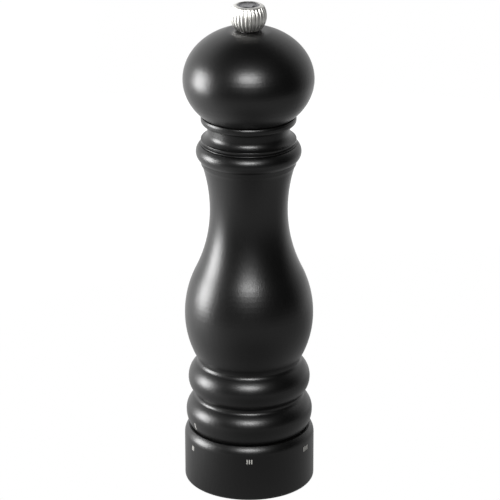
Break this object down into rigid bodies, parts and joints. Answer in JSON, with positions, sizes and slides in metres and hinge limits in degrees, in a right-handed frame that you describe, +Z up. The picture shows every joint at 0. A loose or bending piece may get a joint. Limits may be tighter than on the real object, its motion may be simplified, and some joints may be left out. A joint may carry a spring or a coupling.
{
  "type": "pepper mill",
  "caption": "Tall turned wooden pepper mill: domed head with a fluted metal knob, beaded waist, steel burrs, and a base ring that sets the grind.",
  "frame": {"origin": "middle of the base ring's foot, on the table", "axes": "+Z up along the drive shaft's axis, -Y towards the front, where the grind mark for level three stands; +X to the right seen from the front"},
  "size_m": [0.0578, 0.0576, 0.2199],
  "materials": {
    "black_wood": "satin lacquer",
    "steel": "satin",
    "burr_steel": "hardened, satin",
    "spring_steel": "bright",
    "brass": "satin",
    "black_plastic": "moulded"
  },
  "bodies": {
    "mill": {"mill_body": "black_wood", "mechanism_housing": "black_plastic", "housing_screws": "steel", "stator_burr": "burr_steel", "click_spring": "spring_steel", "retaining_ring": "black_plastic", "retaining_screws": "steel"},
    "shaft": {"drive_shaft": "steel", "shaft_bush": "brass", "shaft_clip": "spring_steel", "spring_washer": "steel", "rotor_spring": "spring_steel"},
    "head": {"head": "black_wood", "head_drive_plate": "steel", "drive_plate_screws": "steel"},
    "knob_washer": {"knob_washer": "steel"},
    "knob": {"knob": "steel", "knob_disc": "steel"},
    "adjuster": {"adjuster_ring": "black_wood", "cam_ring": "black_plastic"},
    "bridge": {"lift_bridge": "steel", "thrust_washer": "brass"},
    "rotor": {"rotor_burr": "burr_steel"}
  },
  "joints": [
    {"name": "head_turn", "type": "hinge", "parent": "mill", "child": "shaft", "pos_m": [0, 0, 0.0468], "axis": [0, 0, 1], "continuous": true},
    {"name": "head_lift", "type": "slide", "parent": "shaft", "child": "head", "axis": [0, 0, 1], "range_m": [0, 0.075]},
    {"name": "knob_rise", "type": "slide", "parent": "head", "child": "knob_washer", "axis": [0, 0, 1], "range_m": [0, 0.006]},
    {"name": "knob_turn", "type": "hinge", "parent": "knob_washer", "child": "knob", "pos_m": [0, 0, 0.209], "axis": [0, 0, 1], "range_deg": [0, 2160]},
    {"name": "adjuster_turn", "type": "hinge", "parent": "mill", "child": "adjuster", "pos_m": [0, 0, 0.0194], "axis": [0, 0, 1], "range_deg": [-240, 60], "deforming": ["click_spring"]},
    {"name": "bridge_lift", "type": "slide", "parent": "mill", "child": "bridge", "axis": [0, 0, 1], "range_m": [-0.001, 0.00025], "deforming": ["rotor_spring"]},
    {"name": "rotor_turn", "type": "hinge", "parent": "bridge", "child": "rotor", "pos_m": [0, 0, 0.0174], "axis": [0, 0, 1], "continuous": true}
  ],
  "couplings": [
    {"joint": "rotor_turn", "follows": "head_turn", "ratio": 1},
    {"joint": "knob_rise", "follows": "knob_turn", "m_per_rad": 0.00015915},
    {"joint": "bridge_lift", "follows": "adjuster_turn", "m_per_rad": 0.00023873}
  ]
}
